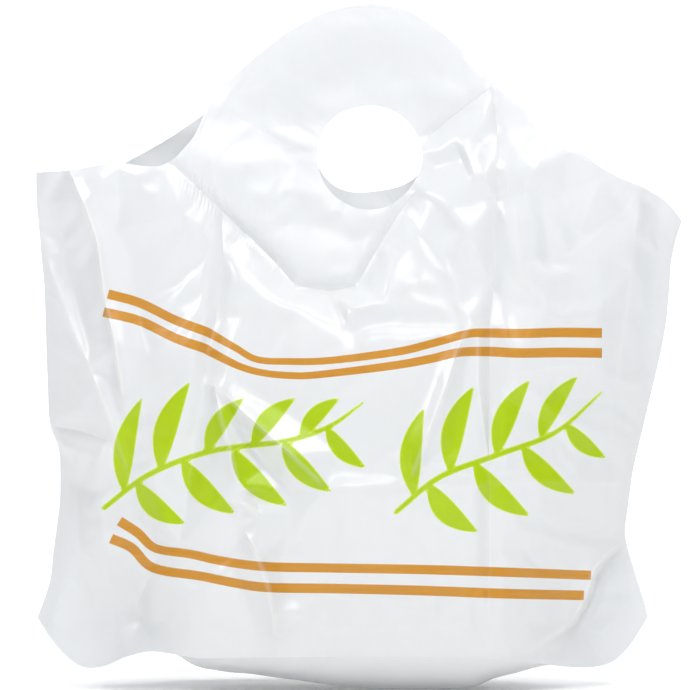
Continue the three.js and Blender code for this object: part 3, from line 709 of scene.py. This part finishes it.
# gusset: lofted from the front fold to the back fold
F, B = parts[-1], parts[1]
NG = 12
fr, br = F["row0"], B["row0"]
q = np.linspace(-1, 1, NG + 1)
t = (q[None, :] + 1) / 2
ax, ay, az = F["x"][fr][:, None], F["y"][fr][:, None], F["z"][fr][:, None]
bx, by, bz = B["x"][br][:, None], B["y"][br][:, None], B["z"][br][:, None]
gx, gy, gz = lerp(ax, bx, t), lerp(ay, by, t), lerp(az, bz, t)
QQ = np.repeat(q[None, :], len(fr), 0)
rise = (np.clip(np.abs(QQ) - 0.14, 0, 1) / 0.86) ** 1.5
mid = middle_z(gx)
full = smooth(0.2, 3, np.abs(ay))
rel = (1.8 * noise(gx / 60, gy / 40 + 5, 41) + 1.0 * (0.45 - cells(gx / 38, gy / 30 + 7, 42))) * smooth(1.0, 0.8, np.abs(QQ)) * smooth(1, 9, np.abs(ay))
gz = np.maximum(lerp(gz, mid + (gz - mid) * rise, full) + rel, 0.0)
gz[:, 0], gz[:, -1] = az[:, 0], bz[:, 0]
gi = np.arange(gx.size).reshape(gx.shape)
gf = [(gi[i, j], gi[i, j + 1], gi[i + 1, j + 1], gi[i + 1, j]) for i in range(len(fr) - 1) for j in range(NG)]
add(gx.ravel(), gy.ravel(), gz.ravel(), gf, 0)

import bmesh
V = np.concatenate(verts) / 1000.0
LAB = np.concatenate(labels)
bm = bmesh.new()
kind = bm.verts.layers.int.new("panel")
bv = []
for co, lab in zip(V, LAB):
    b = bm.verts.new(co)
    b[kind] = int(lab)
    bv.append(b)
for f in faces:
    if len(set(f)) >= 3:
        bm.faces.new([bv[i] for i in dict.fromkeys(f)])
face_panel = bm.faces.layers.int.new("panel")
bm.faces.ensure_lookup_table()
for f in bm.faces:
    f[face_panel] = int(round(sum(v[kind] for v in f.verts) / len(f.verts)))
bmesh.ops.remove_doubles(bm, verts=bm.verts, dist=0.00004)
bmesh.ops.dissolve_degenerate(bm, edges=bm.edges, dist=0.00001)
crease = bm.edges.layers.float.new("crease_edge")
for e in bm.edges:
    if len(e.link_faces) == 2 and e.link_faces[0][face_panel] != e.link_faces[1][face_panel]:
        e[crease] = 0.9
        e.smooth = False
mesh = bpy.data.meshes.new("bag_film")
bm.to_mesh(mesh)
bm.free()
mesh.polygons.foreach_set("use_smooth", [True] * len(mesh.polygons))
bag = bpy.data.objects.new("bag_film", mesh)
bpy.context.scene.collection.objects.link(bag)


def coords(m):
    a = np.empty(len(m.vertices) * 3)
    m.vertices.foreach_get("co", a)
    return a.reshape(-1, 3)


def evaluated(obj, name):
    dg = bpy.context.evaluated_depsgraph_get()
    m = bpy.data.meshes.new_from_object(obj.evaluated_get(dg), preserve_all_data_layers=True, depsgraph=dg)
    m.name = name
    return m


# ---------------------------------------------------------------- the film settles into its own wrinkles
start = coords(mesh)
x, y, z = start.T * 1000
border = set()
counts = {}
for poly in mesh.polygons:
    for e in poly.edge_keys:
        counts[e] = counts.get(e, 0) + 1
for e, c in counts.items():
    if c == 1:
        border.update(e)
open_edge = np.zeros(len(start), bool)
open_edge[list(border)] = True
seam = smooth(24, 0, np.minimum(np.abs(x + SHIFT - left_seam(z)), np.abs(x + SHIFT - right_seam(z))) * (z > 50))
low = smooth(60, 25, z)
pin = np.maximum.reduce([np.full(len(start), 0.10), 0.75 * seam, 0.6 * low, 0.55 * open_edge, 0.25 * smooth(430, 500, z)])
group = bag.vertex_groups.new(name="held")
for i, w in enumerate(pin):
    group.add([i], float(w), "REPLACE")
cloth = bag.modifiers.new("film", "CLOTH")
c = cloth.settings
c.quality = 5
c.mass = 0.02
c.air_damping = 2.0
c.tension_stiffness = 30
c.compression_stiffness = 30
c.shear_stiffness = 12
c.bending_model = "ANGULAR"
c.bending_stiffness = 0.12
c.tension_damping = 5
c.compression_damping = 5
c.bending_damping = 0.5
c.vertex_group_mass = "held"
c.pin_stiffness = 1.0
c.shrink_min = -0.012
c.shrink_max = -0.012
c.effector_weights.gravity = 0
cloth.collision_settings.use_collision = False
cloth.collision_settings.use_self_collision = False
scene = bpy.context.scene
scene.frame_start, scene.frame_end = 1, 14
for frame_no in range(1, 15):
    scene.frame_set(frame_no)
settled = evaluated(bag, "bag_settled")
end = coords(settled)
move = end - start
far = np.linalg.norm(move, axis=1)
cap = 0.012
move *= np.minimum(1, cap / np.maximum(far, 1e-9))[:, None]
print("film settled: largest move", round(float(far.max()) * 1000, 1), "mm, mean", round(float(far.mean()) * 1000, 2), "mm")
bag.modifiers.clear()
bag.vertex_groups.clear()
mesh.vertices.foreach_set("co", (start + move).ravel())
mesh.update()
scene.frame_set(1)

sub = bag.modifiers.new("finer", "SUBSURF")
sub.levels = sub.render_levels = 1
sub.boundary_smooth = "PRESERVE_CORNERS"
dense = evaluated(bag, "bag_film_dense")
bag.modifiers.clear()
bag.data = dense
mesh = dense
co = coords(mesh)
x, y, z = (co * 1000).T
nrm = np.empty(len(co) * 3)
mesh.vertices.foreach_get("normal", nrm)
nrm = nrm.reshape(-1, 3)
front = nrm[:, 1] < 0
ex, ey = elevation(x + SHIFT, y, z)
add_r = np.where(front, fine_relief(ex, ey, -1, SEEDS[-1]), fine_relief(ex, ey, 1, SEEDS[1]))
u_all = np.clip((x + SHIFT - left_seam(z)) / (right_seam(z) - left_seam(z)), 0, 1)
sealed = smooth(1.0, 0.965, np.abs(2 * u_all - 1))
above = smooth(28, 60, z)
layers = 1 - 0.7 * smooth(440, 500, z)
shift_n = add_r * sealed * above * layers / 1000.0
co = co + nrm * shift_n[:, None]
co[:, 2] = np.maximum(co[:, 2], 0.0)
mesh.vertices.foreach_set("co", co.ravel())
mesh.update()

# print fields, only where the film faces forward
FIELDS = ["stripe_1", "stripe_2", "stripe_3", "stripe_4", "end_1", "end_2", "end_3", "end_4", "leaves"]
x, y, z = (co * 1000).T
ex, ey = elevation(x + SHIFT, y, z)
off, cut = stripe_fields(ex, ey)
values = off + cut + [np.clip(leaf_field(ex, ey), -30, 30)]
printed = (nrm[:, 1] < 0.05) & (z > 60)
for name, v in zip(FIELDS, values):
    a = mesh.attributes.new(name, "FLOAT", "POINT")
    a.data.foreach_set("value", np.where(printed, v, -9.0).astype(np.float32))
ff = fold_lines(ex, ey, FRONT_FOLDS, MAPS[-1][1])
bf = fold_lines(ex, ey, BACK_FOLDS, MAPS[1][1])
hold = sealed * above
a = mesh.attributes.new("calm", "FLOAT", "POINT")
a.data.foreach_set("value", np.where(nrm[:, 1] < 0, hood(ex, ey), 0.0).astype(np.float32))
for k in range(GROUPS):
    for name, f, b in ((f"fold_off_{k}", ff[k][0], bf[k][0]), (f"fold_amp_{k}", ff[k][1] * hold, bf[k][1] * hold)):
        a = mesh.attributes.new(name, "FLOAT", "POINT")
        a.data.foreach_set("value", np.where(nrm[:, 1] < 0, f, b).astype(np.float32))


# ---------------------------------------------------------------- materials
def new_material(name):
    m = bpy.data.materials.new(name)
    m.use_nodes = True
    m.node_tree.nodes.clear()
    return m, m.node_tree


class Nodes:
    def __init__(self, tree):
        self.t = tree

    def __call__(self, kind, inputs=None, **props):
        n = self.t.nodes.new(kind)
        for k, v in props.items():
            setattr(n, k, v)
        for k, v in (inputs or {}).items():
            if hasattr(v, "is_output") or isinstance(v, bpy.types.NodeSocket):
                self.t.links.new(v, n.inputs[k])
            else:
                n.inputs[k].default_value = v
        return n

    def math(self, op, a, b=0.0, clamp=False):
        return self("ShaderNodeMath", {0: a, 1: b}, operation=op, use_clamp=clamp).outputs[0]

    def mix(self, f, a, b):
        n = self("ShaderNodeMix", data_type="RGBA")
        for k, v in ((0, f), (6, a), (7, b)):
            if isinstance(v, bpy.types.NodeSocket):
                self.t.links.new(v, n.inputs[k])
            else:
                n.inputs[k].default_value = v
        return n.outputs[2]

    def noise(self, vec, scale, detail=3.0, rough=0.5):
        return self("ShaderNodeTexNoise", {"Vector": vec, "Scale": scale, "Detail": detail, "Roughness": rough}).outputs[0]


film, tree = new_material("white_film_printed")
N = Nodes(tree)
pos = N("ShaderNodeTexCoord").outputs["Object"]
cloud = N.noise(pos, 7.0, 1.0, 0.5)
streak_map = N("ShaderNodeMapping", {"Vector": pos, "Scale": (160.0, 160.0, 3.0)}).outputs[0]
streak = N.noise(streak_map, 1.0, 1.0, 0.6)
crinkle = N.noise(pos, 60.0, 2.0, 0.5)
white = N.mix(cloud, (0.850, 0.862, 0.880, 1), (0.866, 0.876, 0.890, 1))
white = N.mix(N.math("MULTIPLY", streak, 0.25), white, (0.890, 0.898, 0.910, 1))
ink_map = N("ShaderNodeMapping", {"Vector": pos, "Scale": (18.0, 60.0, 620.0)}).outputs[0]
ink_streak = N.noise(ink_map, 1.0, 3.0, 0.6)
orange = N.mix(ink_streak, (0.62, 0.255, 0.022, 1), (0.74, 0.36, 0.05, 1))
green = N.mix(cloud, (0.42, 0.62, 0.001, 1), (0.53, 0.72, 0.006, 1))


def field(name):
    return N("ShaderNodeAttribute", attribute_name=name).outputs["Fac"]


omask = None
for k in "1234":
    across = N.math("MULTIPLY", N.math("SUBTRACT", 1.0, N.math("ABSOLUTE", field("stripe_" + k))), 9.0)
    ends = N.math("MULTIPLY", field("end_" + k), 2.2)
    one = N.math("ADD", N.math("MINIMUM", across, ends), 0.5, True)
    omask = one if omask is None else N.math("MAXIMUM", omask, one)
gmask = N.math("ADD", N.math("MULTIPLY", field("leaves"), 2.2), 0.5, True)
green = N.mix(N.math("MULTIPLY", N.math("SUBTRACT", 1.5, field("leaves"), True), 0.75), green, (0.70, 0.86, 0.10, 1))
colour = N.mix(gmask, N.mix(omask, white, orange), green)
ink = N.math("MAXIMUM", omask, gmask)
# the folds: a sharp crest or valley that dies out on both sides, and a line whitened where the film was bent double,
# which also serves as a painted highlight along each fold
bend, line = None, None
for k in range(GROUPS):
    off_line, amp = N.math("ABSOLUTE", field(f"fold_off_{k}")), field(f"fold_amp_{k}")
    one = N.math("MULTIPLY", amp, N.math("POWER", 2.71828, N.math("MULTIPLY", off_line, -0.20)))
    thin = N.math("MULTIPLY", N.math("MAXIMUM", amp, N.math("MULTIPLY", amp, -0.3)), N.math("SUBTRACT", 1.0, N.math("MULTIPLY", off_line, 0.26), True))
    bend = one if bend is None else N.math("ADD", bend, one)
    line = thin if line is None else N.math("MAXIMUM", line, thin)
# colour lifted toward white along the fold lines: partly the film's stress whitening, partly a painted highlight on the
# folds
stress_white_and_painted_highlight = N.math("MULTIPLY", line, N.math("SUBTRACT", 0.80, N.math("MULTIPLY", ink, 0.60)))
colour = N.mix(stress_white_and_painted_highlight, colour, (0.985, 0.985, 0.97, 1))
calm = field("calm")
rough = N.math("ADD", N.math("ADD", 0.18, N.math("MULTIPLY", crinkle, 0.12)), N.math("ADD", N.math("MULTIPLY", ink, 0.14), N.math("MULTIPLY", calm, 0.10)))


def plates(scale, stretch, warp):
    """Flat plates with straight creases between them: the film's own crumple."""
    wobble = N("ShaderNodeTexNoise", {"Vector": pos, "Scale": scale * 0.7, "Detail": 1.0}).outputs["Color"]
    centred = N("ShaderNodeVectorMath", {0: wobble, 1: (0.5, 0.5, 0.5)}, operation="SUBTRACT").outputs[0]
    push = N("ShaderNodeVectorMath", {0: centred, 3: warp}, operation="SCALE").outputs[0]
    moved = N("ShaderNodeVectorMath", {0: pos, 1: push}, operation="ADD").outputs[0]
    laid = N("ShaderNodeMapping", {"Vector": moved, "Scale": stretch, "Rotation": (0.0, 0.45, 0.0)}).outputs[0]
    return N("ShaderNodeTexVoronoi", {"Vector": laid, "Scale": scale, "Randomness": 1.0}, feature="DISTANCE_TO_EDGE").outputs["Distance"]


where = N.math("MULTIPLY", N.math("SUBTRACT", N.noise(pos, 9.0, 2.0, 0.5), 0.42), 5.0, True)
broad = plates(13.0, (1.0, 0.4, 0.62), 0.04)
small = plates(42.0, (1.0, 0.4, 0.7), 0.015)
height = N.math("ADD", N.math("MULTIPLY", crinkle, 0.10), N.math("MULTIPLY", streak, 0.08))
height = N.math("ADD", height, N.math("ADD", N.math("MULTIPLY", bend, 2.1), N.math("MULTIPLY", line, 0.05)))
height = N.math("ADD", height, N.math("MULTIPLY", broad, N.math("SUBTRACT", 0.9, N.math("MULTIPLY", calm, 0.65))))
height = N.math("ADD", height, N.math("MULTIPLY", N.math("MULTIPLY", small, where), 0.30))
bump = N("ShaderNodeBump", {"Strength": 1.0, "Distance": 0.001, "Height": height}).outputs[0]
bsdf = N("ShaderNodeBsdfPrincipled", {"Base Color": colour, "Roughness": rough, "Normal": bump, "IOR": 1.52})
through = N("ShaderNodeBsdfTranslucent", {"Color": colour, "Normal": bump})
film_mix = N("ShaderNodeMixShader", {0: 0.22, 1: bsdf.outputs[0], 2: through.outputs[0]})
N("ShaderNodeOutputMaterial", {"Surface": film_mix.outputs[0]})
mesh.materials.append(film)

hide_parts("carrier_bag_film")
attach(bag, "root")

# ---------------------------------------------------------------- floor, light, camera
floor_mesh = bpy.data.meshes.new("floor")
W0, D0 = 6.0, 5.0
rows = [(-9.0, 0.0), (1.6, 0.0)]
for k in range(1, 13):
    a = math.pi / 2 * k / 12
    rows.append((1.6 + 1.2 * math.sin(a), 1.2 - 1.2 * math.cos(a)))
rows.append((2.8, 5.0))
fv = [(x, y, z - 0.0002) for y, z in rows for x in (-W0, W0)]
ff = [(2 * i, 2 * i + 1, 2 * i + 3, 2 * i + 2) for i in range(len(rows) - 1)]
floor_mesh.from_pydata(fv, [], ff)
floor_mesh.polygons.foreach_set("use_smooth", [True] * len(ff))
floor = bpy.data.objects.new("studio_floor", floor_mesh)
bpy.context.scene.collection.objects.link(floor)
fmat, ftree = new_material("pale_floor")
FN = Nodes(ftree)
fb = FN("ShaderNodeBsdfPrincipled", {"Base Color": (0.96, 0.96, 0.96, 1), "Roughness": 0.9, "Specular IOR Level": 0.0, "Emission Color": (1, 1, 1, 1), "Emission Strength": 0.07})
# seen from behind or below it is clear, so the bag can be looked at from every side
clear = FN("ShaderNodeBsdfTransparent")
behind = FN("ShaderNodeNewGeometry").outputs["Backfacing"]
one_sided = FN("ShaderNodeMixShader", {0: behind, 1: fb.outputs[0], 2: clear.outputs[0]})
FN("ShaderNodeOutputMaterial", {"Surface": one_sided.outputs[0]})
floor_mesh.materials.append(fmat)

world = bpy.data.worlds.new("studio")
bpy.context.scene.world = world
world.use_nodes = True
bg = world.node_tree.nodes["Background"]
bg.inputs[0].default_value = (0.90, 0.95, 1.0, 1)
bg.inputs[1].default_value = 0.16


def area(name, at, to, size, power, colour=(1, 1, 1)):
    d = bpy.data.lights.new(name, "AREA")
    d.shape = "RECTANGLE"
    d.size, d.size_y = size
    d.energy = power
    d.color = colour
    o = bpy.data.objects.new(name, d)
    o.location = at
    o.rotation_euler = (Vector(to) - Vector(at)).to_track_quat("-Z", "Y").to_euler()
    bpy.context.scene.collection.objects.link(o)
    return o


area("steep", (0.30, -0.90, 2.00), (0, 0, 0.15), (1.1, 0.35), 7.5)
area("high_left", (-1.30, -1.20, 1.25), (0, 0, 0.25), (0.50, 0.50), 10)
area("high_right", (0.90, -1.15, 1.85), (0.1, 0, 0.30), (0.55, 0.55), 11.5)
area("key", (0.35, -1.70, 1.50), (0, 0, 0.25), (0.80, 0.50), 9.5)
area("over", (0.0, 0.05, 2.20), (0, 2.4, 0), (3.4, 1.0), 15)
area("floor_wash", (0.0, 0.50, 2.00), (0, 2.4, 0), (3.4, 1.0), 34)
area("back_wash", (0.0, 0.90, 1.60), (0, 2.6, 0.7), (3.0, 0.6), 22)

cam_data = bpy.data.cameras.new("camera")
cam_data.sensor_width = 36.0
cam_data.lens = 36.0 * VIEW_FAR / (690 * VIEW_MM)
cam_data.clip_end = 50.0
cam = bpy.data.objects.new("camera", cam_data)
cam.location = (VIEW_X / 1000, -VIEW_FAR / 1000, VIEW_Z / 1000)
cam.rotation_euler = (math.pi / 2, 0, 0)
bpy.context.scene.collection.objects.link(cam)
bpy.context.scene.camera = cam
bpy.context.scene.view_settings.view_transform = "Standard"
